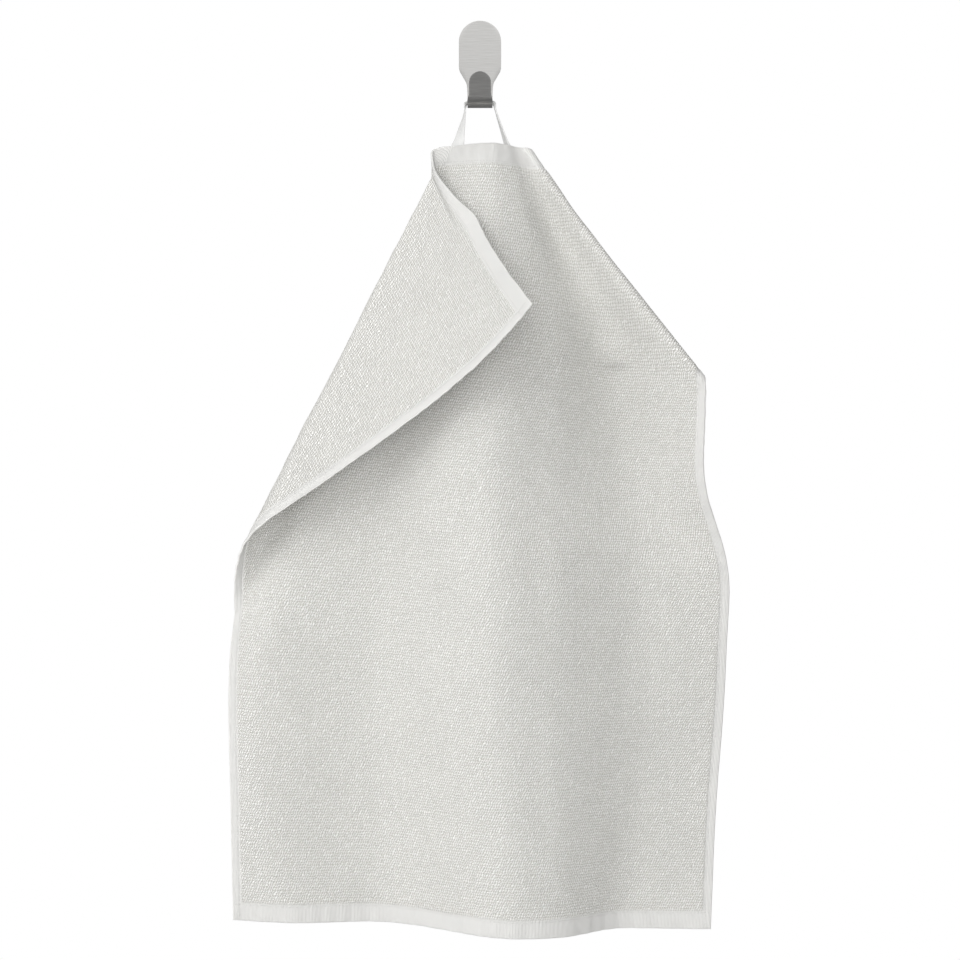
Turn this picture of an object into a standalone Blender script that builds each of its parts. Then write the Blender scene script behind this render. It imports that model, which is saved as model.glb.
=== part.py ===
"""A terry hand towel hanging by its tape loop from a small steel J hook.

Metres, +Z up. The hook's plate is screwed or glued to a wall in the plane y = 0, and everything
hangs in front of it, towards -Y. The origin is the centre of the plate's flat back. "Out" is the
distance out from the wall, so y = -out.
"""

import math

import bmesh
import bpy
import numpy as np

# ---------------------------------------------------------------- driving sizes
TOWEL_WIDTH = 0.400
TOWEL_LENGTH = 0.585
TERRY_THICK = 0.0024
HEM_THICK = 0.0018
END_HEM = 0.014
SIDE_HEM = 0.007
COLUMNS = 58
ROWS = 37

STEEL = 0.0015
STEEL_EASE = 0.0002
PLATE_WIDTH = 0.0327
PLATE_TOP = 0.0238
HOOK_GAP = 0.0125
BEND_CENTRE = -0.0371
TONGUE_TOP = -0.0187
TONGUE_LEAN = 10

TAPE_WIDTH = 0.0100
TAPE_THICK = 0.0009
GAP = 0.0003

# A corner of the towel turned over along a slanting fold. On the flat towel the fold runs from the
# top hem, "across" from the middle, to the side edge, "down" from the top. In the hanging towel it
# runs straight from "high" to "low". The cloth rolls round a cone along it: "tight" is the radius
# of the roll at the top, "loose" at the bottom, "turn" how far it rolls, "lean" how far the cloth
# already leans out where the roll starts, and "curl" the slow bend of the corner after it.
FRONT_CORNER = dict(
    side=-1, across=0.025, down=0.354, high=(-0.0198, -0.0249, -0.0772),
    low=(-0.1880, -0.0167, -0.4345), tight=0.0031, loose=0.0193, turn=153, lean=9, curl=-1.06,
)
BACK_CORNER = dict(
    side=1, across=0.045, down=0.160, high=(0.0320, -0.0200, -0.0775),
    low=(0.1680, -0.0580, -0.2650), tight=0.0026, loose=0.0040, turn=165, lean=35, curl=7.8,
)

# The folds of the hanging towel, level by level: how far across each one is, and how far out.
# down, then across and out of the edge ridge, the left valley, the middle ridge, its flank and the
# right valley
FOLDS = (
    (0.000, -0.015, 0.0250, -0.008, 0.0250, 0.008, 0.0250, 0.0190, 0.0222, 0.0275, 0.0190),
    (0.040, -0.034, 0.0245, -0.022, 0.0285, 0.010, 0.0390, 0.0300, 0.0335, 0.0535, 0.0200),
    (0.080, -0.050, 0.0245, -0.035, 0.0310, 0.010, 0.0500, 0.0380, 0.0430, 0.0720, 0.0180),
    (0.120, -0.068, 0.0240, -0.049, 0.0310, 0.013, 0.0570, 0.0600, 0.0460, 0.0970, 0.0180),
    (0.160, -0.085, 0.0235, -0.061, 0.0305, 0.013, 0.0620, 0.0550, 0.0495, 0.1070, 0.0190),
    (0.200, -0.104, 0.0225, -0.074, 0.0290, 0.009, 0.0650, 0.0500, 0.0515, 0.1120, 0.0205),
    (0.260, -0.128, 0.0240, -0.088, 0.0255, 0.007, 0.0660, 0.0480, 0.0540, 0.1280, 0.0270),
    (0.320, -0.150, 0.0290, -0.084, 0.0235, 0.009, 0.0660, 0.0480, 0.0565, 0.1310, 0.0245),
    (0.400, -0.169, 0.0370, -0.085, 0.0235, 0.013, 0.0660, 0.0480, 0.0580, 0.1330, 0.0220),
    (0.490, -0.170, 0.0410, -0.084, 0.0245, 0.018, 0.0660, 0.0500, 0.0590, 0.1290, 0.0210),
    (0.585, -0.148, 0.0430, -0.076, 0.0255, 0.026, 0.0660, 0.0560, 0.0590, 0.1120, 0.0215),
)
# The two free side edges below the turned corners.
# down, across, out, height
LEFT_EDGE = (
    (0.354, -0.1880, 0.0167, -0.4345),
    (0.400, -0.1910, 0.0325, -0.4805),
    (0.490, -0.1885, 0.0385, -0.5693),
    (0.585, -0.1860, 0.0410, -0.6630),
)
RIGHT_EDGE = (
    (0.160, 0.1680, 0.0580, -0.2650),
    (0.200, 0.1675, 0.0575, -0.3015),
    (0.240, 0.1662, 0.0500, -0.3375),
    (0.270, 0.1785, 0.0410, -0.3664),
    (0.300, 0.1912, 0.0310, -0.3957),
    (0.340, 0.1890, 0.0240, -0.4348),
    (0.400, 0.1875, 0.0170, -0.4934),
    (0.490, 0.1805, 0.0180, -0.5812),
    (0.585, 0.1760, 0.0230, -0.6740),
)
# The stiff hem at the top left stands out round the roll, and the corner's top edge hangs slack.
FLARE = 0.015
FLARE_REACH = 0.070
FLARE_FADE = 0.022
SLACK = 0.010
SLACK_FADE = 0.110
FOLD_SAG = 0.0032
CROWN = 0.0025
CROWN_FADE = 0.030
SOFTEN = 0.035

# Each leg of the tape starts behind the top hem, "across" from the towel's middle. Its tail is given
# as (how far below the towel's top edge, degrees turned edge on), and its free length as (share of
# the way up to the hook, degrees turned edge on).
LEFT_LEG = dict(
    side=-1, across=-0.0218, tail=((0.0135, 0), (0.0070, 0), (0.0010, 0)),
    free=((0.25, 41), (0.50, 60), (0.75, 76)),
)
RIGHT_LEG = dict(
    side=1, across=0.0322, tail=((0.0135, 0), (0.0070, 33), (0.0010, 67)),
    free=((0.25, 75), (0.50, 81), (0.75, 87)),
)
# Over the steel's edge the tape cups to lie in the hook: how far from the hook's middle, how far
# below the trough, and the bend across the tape.
OVER_EDGE = ((0.0111, 0.0024, 0.3), (0.0105, 0.0005, 0.9), (0.0097, 0.0, 1.0), (0.0070, 0.0, 1.0))
LOOP_STEPS = 48

# Widths down the hook's strip, from the top of the plate to the tip of the tongue, by height
# on the plate side. The two ends are round.
NECK = ((-0.0150, PLATE_WIDTH), (-0.0265, 0.0208), (-0.0371, 0.0190))
BEND_WIDTH = 0.0185
TONGUE_WIDTH = 0.0167


# ---------------------------------------------------------------- curves through a few points
def through(knots, values, at, first=None, last=None):
    """A smooth curve through (knot, value) pairs that never swings past them."""
    knots, values = np.asarray(knots, float), np.asarray(values, float)
    gap = np.diff(knots)
    rise = np.diff(values) / gap
    slope = np.zeros(len(knots))
    for i in range(1, len(knots) - 1):
        if rise[i - 1] * rise[i] > 0:
            slope[i] = 2 * rise[i - 1] * rise[i] / (rise[i - 1] + rise[i])
    slope[0] = rise[0] if first is None else first
    slope[-1] = rise[-1] if last is None else last
    i = np.clip(np.searchsorted(knots, at, side="right") - 1, 0, len(gap) - 1)
    t = np.clip((at - knots[i]) / gap[i], 0, 1)
    start = values[i] * (2 * t**3 - 3 * t**2 + 1) + gap[i] * slope[i] * (t**3 - 2 * t**2 + t)
    return start + values[i + 1] * (3 * t**2 - 2 * t**3) + gap[i] * slope[i + 1] * (t**3 - t**2)


def row_of(table, down):
    """Every column of a table after the first, at one level."""
    table = np.array(table)
    return np.array([through(table[:, 0], column, down) for column in table[:, 1:].T])


def unit(vector):
    return vector / np.linalg.norm(vector)


def turned(vector, axis, angle):
    """The vector turned about the axis, once for each angle."""
    cos, sin = np.cos(angle)[..., None], np.sin(angle)[..., None]
    return vector * cos + np.cross(axis, vector) * sin + axis * (axis @ vector) * (1 - cos)


# ---------------------------------------------------------------- the towel's shape
def fold_end(corner, down):
    """Where the body of the cloth ends at this level: across on the flat towel, and in space."""
    share = down / corner["down"]
    high, low = np.array(corner["high"]), np.array(corner["low"])
    reach = corner["across"] + (TOWEL_WIDTH / 2 - corner["across"]) * share
    return corner["side"] * reach, high + (low - high) * share


def side_end(corner, edge, down):
    if down < corner["down"]:
        return fold_end(corner, down)
    across, out, height = row_of(edge, down)
    return corner["side"] * TOWEL_WIDTH / 2, np.array((across, -out, height))


def body_row(down, across):
    """Points of the hanging cloth at one level, between its two turned corners."""
    left_flat, left = side_end(FRONT_CORNER, LEFT_EDGE, down)
    right_flat, right = side_end(BACK_CORNER, RIGHT_EDGE, down)
    folds = row_of(FOLDS, down)
    knots = np.concatenate([[left[0]], folds[0::2], [right[0]]])
    outs = np.concatenate([[-left[1]], folds[1::2], [-right[1]]])
    fade_left = np.clip(1.6 - down / FRONT_CORNER["down"], 0, 1)
    fade_right = np.clip(2.0 - down / BACK_CORNER["down"], 0, 1)
    first = -math.tan(math.radians(FRONT_CORNER["lean"])) * fade_left
    last = math.tan(math.radians(BACK_CORNER["lean"])) * fade_right
    x = np.linspace(left[0], right[0], 241)
    out = through(knots, outs, x, first, last)
    length = np.concatenate([[0], np.cumsum(np.hypot(np.diff(x), np.diff(out)))])
    share = (across - left_flat) / (right_flat - left_flat)
    at = np.interp(np.clip(share, 0, 1) * length[-1], length, x)
    drop = np.sin(np.clip(share, 0, 1) * math.pi / 2)
    crown = CROWN * math.exp(-down / CROWN_FADE) * np.sin(np.clip(share, 0, 1) * math.pi)
    height = left[2] + (right[2] - left[2]) * drop + crown
    return np.stack([at, -through(knots, outs, at, first, last), height], -1)


def body_points(down, across):
    """Rows blended with their neighbours, so that no crease crosses the cloth where a fold ends."""
    steps = np.linspace(-SOFTEN, SOFTEN, 11)
    gap = steps[1] - steps[0]
    room = np.full(len(across), min(down, TOWEL_LENGTH - down))
    for corner in (FRONT_CORNER, BACK_CORNER):
        beyond = np.maximum(across * corner["side"] - corner["across"], 0)
        fold_level = beyond / (TOWEL_WIDTH / 2 - corner["across"]) * corner["down"]
        room = np.minimum(room, np.maximum(down - fold_level, 0))
    reach = np.minimum(0.7 * room, SOFTEN)
    weight = np.clip((reach - np.abs(steps)[:, None]) / gap + 0.5, 0, 1)
    weight /= weight.sum(axis=0)
    rows = [body_row(min(max(down + step, 0), TOWEL_LENGTH), across) for step in steps]
    return (weight[..., None] * np.array(rows)).sum(axis=0)


def corner_points(corner, across, down):
    """Points of a turned corner: two cones with one apex, a tight one and then a slow one."""
    flat_high = np.array((corner["side"] * corner["across"], 0.0))
    flat_low = np.array((corner["side"] * TOWEL_WIDTH / 2, corner["down"]))
    long = np.linalg.norm(flat_low - flat_high)
    give = np.linalg.norm(np.array(corner["low"]) - np.array(corner["high"])) / long
    along = (flat_low - flat_high) / long
    beyond = np.array((along[1], -along[0])) * corner["side"]
    back = long * corner["tight"] / (corner["loose"] - corner["tight"])
    offset = np.stack([across, down], -1) - (flat_high - along * back)
    reach = np.linalg.norm(offset, axis=-1)
    angle = np.arctan2(offset @ beyond, offset @ along)

    high, low = np.array(corner["high"]), np.array(corner["low"])
    ray = unit(low - high)
    apex = high - ray * back * give
    lean = math.radians(corner["lean"])
    heading = np.array((corner["side"] * math.cos(lean), -math.sin(lean), 0.0))
    heading = unit(heading - ray * (heading @ ray))
    normal = np.cross(ray, heading)
    inward = np.sign(normal[1]) * corner["side"]
    narrow = corner["tight"] / back
    rolled = math.radians(corner["turn"]) * narrow
    axis = unit(normal + ray * inward * math.sqrt(1 / narrow**2 - 1))
    first = np.minimum(angle, rolled) / narrow
    end = np.array([rolled / narrow])
    ray_end, heading_end = turned(ray, axis, end)[0], turned(heading, axis, end)[0]
    slow = np.cross(ray_end, heading_end) + ray_end * inward * corner["curl"]
    second = np.maximum(angle - rolled, 0) * np.linalg.norm(slow)
    way = np.where(
        (angle <= rolled)[..., None],
        turned(ray, axis, first),
        turned(ray_end, unit(slow), second),
    )
    return apex + give * reach[..., None] * way


def hem_slack(across, down):
    """How far the front corner's hem stands out of the cone, and hangs below it."""
    along = -across - FRONT_CORNER["across"] - TOWEL_WIDTH * 0.44 * down / FRONT_CORNER["down"]
    begin = np.clip(along / 0.006, 0, 1)
    round_roll = np.sqrt(np.clip(along / FLARE_REACH, 0, 1)) * begin * begin * (3 - 2 * begin)
    past_roll = np.clip((along - 0.004) / (TOWEL_WIDTH / 2 - FRONT_CORNER["across"]), 0, 1)
    flare = FLARE * np.sin(math.pi * round_roll) * max(0, 1 - down / FLARE_FADE)
    slack = SLACK * np.sin(math.pi * past_roll) * max(0, 1 - down / SLACK_FADE) ** 2
    return np.stack([-flare - 0.8 * slack, 0 * flare, -0.5 * round_roll * flare - 0.6 * slack], -1)


def fold_sag(across, down):
    """How far in the slanting fold at the back bows, between its two ends."""
    share = min(down / BACK_CORNER["down"], 1)
    near = np.clip(across / fold_end(BACK_CORNER, share * BACK_CORNER["down"])[0], 0, 1) ** 2
    return -FOLD_SAG * math.sin(math.pi * share) * near


def roll_width(corner, down):
    """How much of a row of the flat towel its roll takes up."""
    share = down / corner["down"]
    radius = corner["tight"] + (corner["loose"] - corner["tight"]) * share
    return radius * math.radians(corner["turn"]) * math.hypot(1, (0.2 - corner["across"]) / corner["down"])


def columns_at(down, count, extra):
    """Places across the flat towel, closer together where a corner rolls over."""
    fine = np.linspace(-TOWEL_WIDTH / 2, TOWEL_WIDTH / 2, 801)
    weight = (fine / TOWEL_WIDTH + 0.5) * (count - 2 * extra)
    for corner in (FRONT_CORNER, BACK_CORNER):
        start = abs(fold_end(corner, down)[0])
        into = np.clip((fine * corner["side"] - start) / roll_width(corner, down), 0, 1)
        weight += corner["side"] * extra * into * into * (3 - 2 * into)
    even = np.linspace(weight[0], weight[-1], count + 1)
    return np.interp(even, weight, fine)


def towel_grid(downs, columns, extra):
    """The middle of the cloth as rows of points, and each point's place on the flat towel."""
    points = np.zeros((len(downs), columns + 1, 3))
    flat = np.zeros((len(downs), columns + 1, 2))
    for i, down in enumerate(downs):
        across = columns_at(down, columns, extra)
        points[i] = body_points(down, across)
        for corner in (FRONT_CORNER, BACK_CORNER):
            if down < corner["down"]:
                over = across * corner["side"] > abs(fold_end(corner, down)[0])
                points[i, over] = corner_points(corner, across[over], np.full(over.sum(), down))
        turned_over = across < -abs(fold_end(FRONT_CORNER, down)[0])
        points[i, turned_over] += hem_slack(across[turned_over], down)
        points[i, :, 0] += fold_sag(across, down)
        flat[i] = np.stack([across, np.full(columns + 1, down)], -1)
    return points, flat


def normals_of(points):
    """Unit normals of a grid of points. They face out from the wall on the body of the towel."""
    normal = np.cross(np.gradient(points, axis=0), np.gradient(points, axis=1))
    return normal / np.linalg.norm(normal, axis=-1, keepdims=True)


def thickness_at(flat):
    """The plain hems are thinner than the looped terry between them."""
    from_side = TOWEL_WIDTH / 2 - np.abs(flat[..., 0])
    from_end = np.minimum(flat[..., 1], TOWEL_LENGTH - flat[..., 1])
    inside = np.minimum(from_side / SIDE_HEM, from_end / END_HEM)
    return np.where(inside < 1.001, HEM_THICK, TERRY_THICK)


# ---------------------------------------------------------------- making objects
def material(name, colour, roughness, metallic=0.0):
    made = bpy.data.materials.new(name)
    made.use_nodes = True
    shader = made.node_tree.nodes["Principled BSDF"]
    shader.inputs["Base Color"].default_value = (*colour, 1)
    shader.inputs["Roughness"].default_value = roughness
    shader.inputs["Metallic"].default_value = metallic
    made.diffuse_color = (*colour, 1)
    return made


def add_object(name, mesh, surface):
    mesh.normal_update()
    data = bpy.data.meshes.new(name)
    mesh.to_mesh(data)
    mesh.free()
    data.materials.append(surface)
    made = bpy.data.objects.new(name, data)
    bpy.context.scene.collection.objects.link(made)
    return made


def closed_sheet(name, points, thick, surface):
    """A grid of points thickened evenly both ways and closed round its border."""
    offset = normals_of(points) * thick[..., None] / 2
    mesh = bmesh.new()
    front = [[mesh.verts.new(p) for p in row] for row in points + offset]
    back = [[mesh.verts.new(p) for p in row] for row in points - offset]
    rows, columns = len(front), len(front[0])
    for i in range(rows - 1):
        for j in range(columns - 1):
            mesh.faces.new((front[i][j], front[i + 1][j], front[i + 1][j + 1], front[i][j + 1]))
            mesh.faces.new((back[i][j], back[i][j + 1], back[i + 1][j + 1], back[i + 1][j]))
    border = [(0, j) for j in range(columns - 1)]
    border += [(i, columns - 1) for i in range(rows - 1)]
    border += [(rows - 1, j) for j in range(columns - 1, 0, -1)]
    border += [(i, 0) for i in range(rows - 1, 0, -1)]
    for (i, j), (k, m) in zip(border, border[1:] + border[:1]):
        mesh.faces.new((front[i][j], front[k][m], back[k][m], back[i][j]))
    return add_object(name, mesh, surface)


def lofted(name, sections, surface):
    """A closed solid through cross-sections that all have the same number of points."""
    mesh = bmesh.new()
    rings = [[mesh.verts.new(p) for p in section] for section in sections]
    count = len(rings[0])
    for one, two in zip(rings, rings[1:]):
        for k in range(count):
            mesh.faces.new((one[k], one[(k + 1) % count], two[(k + 1) % count], two[k]))
    mesh.faces.new(rings[0][::-1])
    mesh.faces.new(rings[-1])
    bmesh.ops.recalc_face_normals(mesh, faces=mesh.faces)
    return add_object(name, mesh, surface)


# ---------------------------------------------------------------- the towel
def make_towel():
    downs = np.linspace(0, TOWEL_LENGTH, ROWS + 1)
    downs[1] = END_HEM
    downs[-2] = TOWEL_LENGTH - END_HEM
    points, flat = towel_grid(downs, COLUMNS, 9)
    terry = material("terry", (0.86, 0.86, 0.84), 0.95)
    return closed_sheet("towel", points, thickness_at(flat), terry)


# ---------------------------------------------------------------- the hook
def hook_section(centre, outward, half):
    """The strip's cross-section: a rectangle with eased edges."""
    side, ease = np.array((1.0, 0.0, 0.0)), min(STEEL_EASE, half / 2)
    thin = STEEL / 2
    corners = (
        (half - ease, thin), (half, thin - ease), (half, ease - thin), (half - ease, -thin),
        (ease - half, -thin), (-half, ease - thin), (-half, thin - ease), (ease - half, thin),
    )
    return [centre + side * a + outward * b for a, b in corners]


def make_hook():
    plate_round = PLATE_WIDTH / 2
    tongue_round = TONGUE_WIDTH / 2
    bend_radius = (HOOK_GAP + STEEL) / 2
    back_out = STEEL / 2
    sections = []
    for step in range(11):
        swing = math.pi / 2 * (1 - step / 10)
        half = plate_round * math.cos(swing * 0.985)
        height = PLATE_TOP - plate_round * (1 - math.sin(swing))
        sections.append(hook_section(np.array((0, -back_out, height)), np.array((0, -1.0, 0)), half))
    neck = sorted((-height, width) for height, width in NECK)
    for height in (-0.0075, -0.0150, -0.0180, -0.0210, -0.0240, -0.0265, -0.0310, BEND_CENTRE):
        width = through([k for k, _ in neck], [w for _, w in neck], max(-height, 0.0150), 0, 0)
        centre = np.array((0, -back_out, height))
        sections.append(hook_section(centre, np.array((0, -1.0, 0)), float(width) / 2))
    lean = math.radians(TONGUE_LEAN)
    for step in range(1, 13):
        swing = (math.pi - lean) * step / 12
        way = np.array((0, -math.cos(swing), math.sin(swing)))
        round_it = np.array((0, math.cos(swing), -math.sin(swing)))
        centre = np.array((0, -back_out - bend_radius, BEND_CENTRE)) + round_it * bend_radius
        width = 0.0190 + (BEND_WIDTH - 0.0190) * min(1, 2 * step / 12)
        width += (TONGUE_WIDTH - BEND_WIDTH) * max(0, 2 * step / 12 - 1)
        sections.append(hook_section(centre, way, width / 2))
    up = np.array((0, -math.sin(lean), math.cos(lean)))
    length = (TONGUE_TOP - centre[2]) / math.cos(lean)
    rises = [(0.0055, 0.0), (length - tongue_round, 0.0)]
    for step in range(1, 10):
        swing = math.pi / 2 * step / 9
        rises.append((length - tongue_round * (1 - math.sin(swing)), swing * 0.985))
    for rise, swing in rises:
        half = tongue_round * math.cos(swing)
        sections.append(hook_section(centre + up * rise, way, half))
    steel = material("brushed_steel", (0.62, 0.61, 0.59), 0.38, 1.0)
    return lofted("wall_hook", sections, steel)


# ---------------------------------------------------------------- the hanging loop
def tape_section(centre, along, wide, cup):
    """The tape's cross-section, bent to an arc across its width when it lies in the hook."""
    wide = unit(wide - along * (wide @ along))
    face = np.cross(wide, along)
    ring = []
    for side in (1, -1):
        for step in (range(5) if side == 1 else range(4, -1, -1)):
            reach = (step / 4 - 0.5) * TAPE_WIDTH
            if cup > 0.01:
                radius = TAPE_WIDTH / (2 * cup)
                swing = reach / radius
                over = wide * math.sin(swing) * (radius - side * TAPE_THICK / 2)
                lift = radius - (radius - side * TAPE_THICK / 2) * math.cos(swing)
                ring.append(centre + over + face * lift)
            else:
                ring.append(centre + wide * reach + face * side * TAPE_THICK / 2)
    return ring


def towel_back(across, down):
    """A place against the back of the top hem for the tape, and the hem's direction there."""
    points = body_points(down, np.array((across - 0.001, across, across + 0.001)))
    lower = body_points(down + 0.001, np.array((across,)))[0]
    wide = unit(points[2] - points[0])
    away = unit(np.cross(unit(lower - points[1]), wide))
    return points[1] - away * (HEM_THICK / 2 + GAP + TAPE_THICK / 2 + 0.0009), wide


def loop_leg(leg):
    """One leg of the loop from the towel's back up to the hook: places, widths and how far cupped."""
    trough = np.array((0, -STEEL - HOOK_GAP / 2, BEND_CENTRE - HOOK_GAP / 2 + 2 * GAP + TAPE_THICK / 2))
    edge_on = np.array((0, -1.0, 0))
    stations = []
    for down, turn in leg["tail"]:
        place, level = towel_back(leg["across"], down)
        turn = math.radians(turn)
        stand_off = np.array((0, math.sin(turn) * (TAPE_WIDTH / 2 + 0.0015), 0))
        stations.append((place + stand_off, level * math.cos(turn) + edge_on * math.sin(turn), 0.0))
    hem = stations[-1][0]
    over = [(trough + np.array((leg["side"] * across, 0, -below)), edge_on, cup)
            for across, below, cup in OVER_EDGE]
    top = over[0][0]
    for share, turn in leg["free"]:
        turn = math.radians(turn)
        wide = level * math.cos(turn) + edge_on * math.sin(turn)
        stations.append((hem + (top - hem) * share, wide, 0.0))
    return stations + over


def make_loop():
    stations = loop_leg(LEFT_LEG) + loop_leg(RIGHT_LEG)[::-1]
    places = np.array([place for place, wide, cup in stations])
    wides = np.array([wide for place, wide, cup in stations])
    cups = np.array([cup for place, wide, cup in stations])
    run = np.concatenate([[0], np.cumsum(np.linalg.norm(np.diff(places, axis=0), axis=1))])
    at = np.linspace(0, run[-1], LOOP_STEPS + 1)
    places = np.stack([through(run, column, at) for column in places.T], -1)
    wides = np.stack([through(run, column, at) for column in wides.T], -1)
    cups = through(run, cups, at)
    along = np.gradient(places, axis=0)
    along /= np.linalg.norm(along, axis=1, keepdims=True)
    sections = [tape_section(*station) for station in zip(places, along, wides, cups)]
    tape = material("loop_tape", (0.90, 0.90, 0.89), 0.8)
    return lofted("hanging_loop", sections, tape)


if __name__ == "__main__":
    for old in list(bpy.data.objects):
        bpy.data.objects.remove(old)
    make_towel()
    make_loop()
    make_hook()
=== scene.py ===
# %% [markdown]
# # A hand towel on a wall hook
# This lesson builds the looks of a terry hand towel that hangs by its tape loop from a small steel
# hook. The imported model is the frame: it says where the hook is and how large the towel is. We
# load it first.

# %% Load the frame
import math
import bmesh
import bpy
import numpy as np
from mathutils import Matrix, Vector


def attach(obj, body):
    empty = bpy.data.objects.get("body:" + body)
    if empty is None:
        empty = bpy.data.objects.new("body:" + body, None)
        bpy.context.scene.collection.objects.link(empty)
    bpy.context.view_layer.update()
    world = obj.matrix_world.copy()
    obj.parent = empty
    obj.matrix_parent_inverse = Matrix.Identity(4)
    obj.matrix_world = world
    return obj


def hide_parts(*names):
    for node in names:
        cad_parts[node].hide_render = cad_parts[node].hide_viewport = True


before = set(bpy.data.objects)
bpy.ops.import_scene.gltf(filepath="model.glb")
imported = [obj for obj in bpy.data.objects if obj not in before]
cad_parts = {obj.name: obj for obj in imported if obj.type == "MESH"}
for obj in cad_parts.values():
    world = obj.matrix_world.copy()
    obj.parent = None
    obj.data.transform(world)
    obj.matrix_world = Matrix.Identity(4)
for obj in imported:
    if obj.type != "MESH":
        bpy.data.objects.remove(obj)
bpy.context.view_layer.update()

print("nodes:", sorted(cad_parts))

# %% [markdown]
# ## The size of the cloth
# A real towel is woven flat, with plain borders that are folded over and sewn down as hems. So
# every measure of it is given twice: once on the flat cloth, across from the middle and down from
# the top hem, and once in the air where it hangs. The wall is the plane y = 0, and the cloth
# hangs in front of it, towards -Y. "Out" is the distance out from the wall.

# %% Flat sizes
TOWEL_WIDTH = 0.400
TOWEL_LENGTH = 0.585
HALF = TOWEL_WIDTH / 2
END_HEM = 0.014
SIDE_HEM = 0.007
TERRY_HALF_THICK = 0.00115
HEM_HALF_THICK = 0.00085
print("flat towel", TOWEL_WIDTH, "x", TOWEL_LENGTH, "m")

# %% [markdown]
# ## How it hangs
# Cloth bends easily but hardly stretches. Hung from one place in its top hem it falls into folds
# that run down from there, and its two top corners turn over: here the left one has flopped to
# the front and the right one has slipped behind. A simulation could find such a shape, but not
# this very one, so the folds are given in a short table, and curves run through them.
# Each row of the table is a level of the cloth. Each pair of columns is one fold: how far across
# it is, and how far out from the wall. Two more tables give the free side edges, below the
# turned corners: how far down the flat cloth, then across, out and height in the air.

# %% The folds, level by level
FOLD_COLUMNS = (
    "down", "edge ridge", "out", "left valley", "out", "middle ridge", "out", "flank", "out",
    "right valley", "out",
)
FOLDS = (
    (0.000, -0.015, 0.0250, -0.008, 0.0250, 0.008, 0.0250, 0.0190, 0.0222, 0.0275, 0.0190),
    (0.040, -0.034, 0.0245, -0.022, 0.0285, 0.010, 0.0390, 0.0300, 0.0335, 0.0535, 0.0200),
    (0.080, -0.050, 0.0245, -0.035, 0.0310, 0.010, 0.0500, 0.0380, 0.0430, 0.0720, 0.0180),
    (0.120, -0.068, 0.0240, -0.049, 0.0310, 0.013, 0.0570, 0.0600, 0.0460, 0.0970, 0.0180),
    (0.160, -0.085, 0.0235, -0.061, 0.0305, 0.013, 0.0620, 0.0550, 0.0495, 0.1070, 0.0190),
    (0.200, -0.104, 0.0225, -0.074, 0.0290, 0.009, 0.0650, 0.0500, 0.0515, 0.1120, 0.0205),
    (0.260, -0.128, 0.0240, -0.088, 0.0255, 0.007, 0.0660, 0.0480, 0.0540, 0.1280, 0.0270),
    (0.320, -0.150, 0.0290, -0.084, 0.0235, 0.009, 0.0660, 0.0480, 0.0565, 0.1310, 0.0245),
    (0.400, -0.169, 0.0370, -0.085, 0.0235, 0.013, 0.0660, 0.0480, 0.0580, 0.1330, 0.0220),
    (0.490, -0.170, 0.0410, -0.084, 0.0245, 0.018, 0.0660, 0.0500, 0.0590, 0.1290, 0.0210),
    (0.585, -0.148, 0.0430, -0.076, 0.0255, 0.026, 0.0660, 0.0560, 0.0590, 0.1120, 0.0215),
)
LEFT_EDGE = (
    (0.354, -0.1880, 0.0167, -0.4345),
    (0.400, -0.1910, 0.0325, -0.4805),
    (0.490, -0.1885, 0.0385, -0.5693),
    (0.585, -0.1860, 0.0410, -0.6630),
)
RIGHT_EDGE = (
    (0.160, 0.1680, 0.0580, -0.2650),
    (0.200, 0.1675, 0.0575, -0.3015),
    (0.240, 0.1662, 0.0500, -0.3375),
    (0.270, 0.1785, 0.0410, -0.3664),
    (0.300, 0.1912, 0.0310, -0.3957),
    (0.340, 0.1890, 0.0240, -0.4348),
    (0.400, 0.1875, 0.0170, -0.4934),
    (0.490, 0.1805, 0.0180, -0.5812),
    (0.585, 0.1760, 0.0230, -0.6740),
)
CROWN = 0.0025  # how far the top hem arches up in the middle
CROWN_FADE = 0.030
SOFTEN = 0.035  # how far above and below a row is blended with its neighbours
print(len(FOLDS), "levels of", len(FOLD_COLUMNS) // 2, "folds")

# %% [markdown]
# A turned corner is a cone. The cloth rolls tightly along a straight slanting fold, a little
# looser at its lower end, and then lies almost flat again. Both parts are cones with one apex,
# because a cone is what flat cloth can be bent into with no stretch at all. "High" and "low"
# are the two ends of the slanting fold in the air, "tight" and "loose" the roll's radius there,
# "turn" how far round it goes, "lean" how far the cloth leans out where the roll starts, and
# "curl" how much the corner still bends after the roll. Angles are in degrees.

# %% The two turned corners
FRONT_CORNER = dict(
    side=-1, across=0.025, down=0.354, high=(-0.0198, -0.0249, -0.0772),
    low=(-0.1880, -0.0167, -0.4345), tight=0.0031, loose=0.0193, turn=153, lean=9, curl=-1.06,
)
BACK_CORNER = dict(
    side=1, across=0.045, down=0.160, high=(0.0320, -0.0200, -0.0775),
    low=(0.1680, -0.0580, -0.2650), tight=0.0026, loose=0.0040, turn=165, lean=35, curl=7.8,
)
FLARE = 0.015  # how far the top hem stands out round the front roll
FLARE_REACH = 0.070
FLARE_FADE = 0.022
SLACK = 0.010  # how far the front corner's top edge hangs slack
SLACK_FADE = 0.110
FOLD_SAG = 0.0032  # how far the slanting fold at the back bows in
ROLL_START = 0.006  # the flare starts softly, over this much of the hem
HEM_SLANT = 0.44  # the front fold's whole way across the cloth, as a share of the width


# %% [markdown]
# ## A curve through a few points
# The table has one row every few centimetres, and the cloth needs hundreds. A plain spline would
# swing past its points and add folds of its own. This one never does: where the table has a
# ridge or a valley, the curve is level there.

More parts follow.
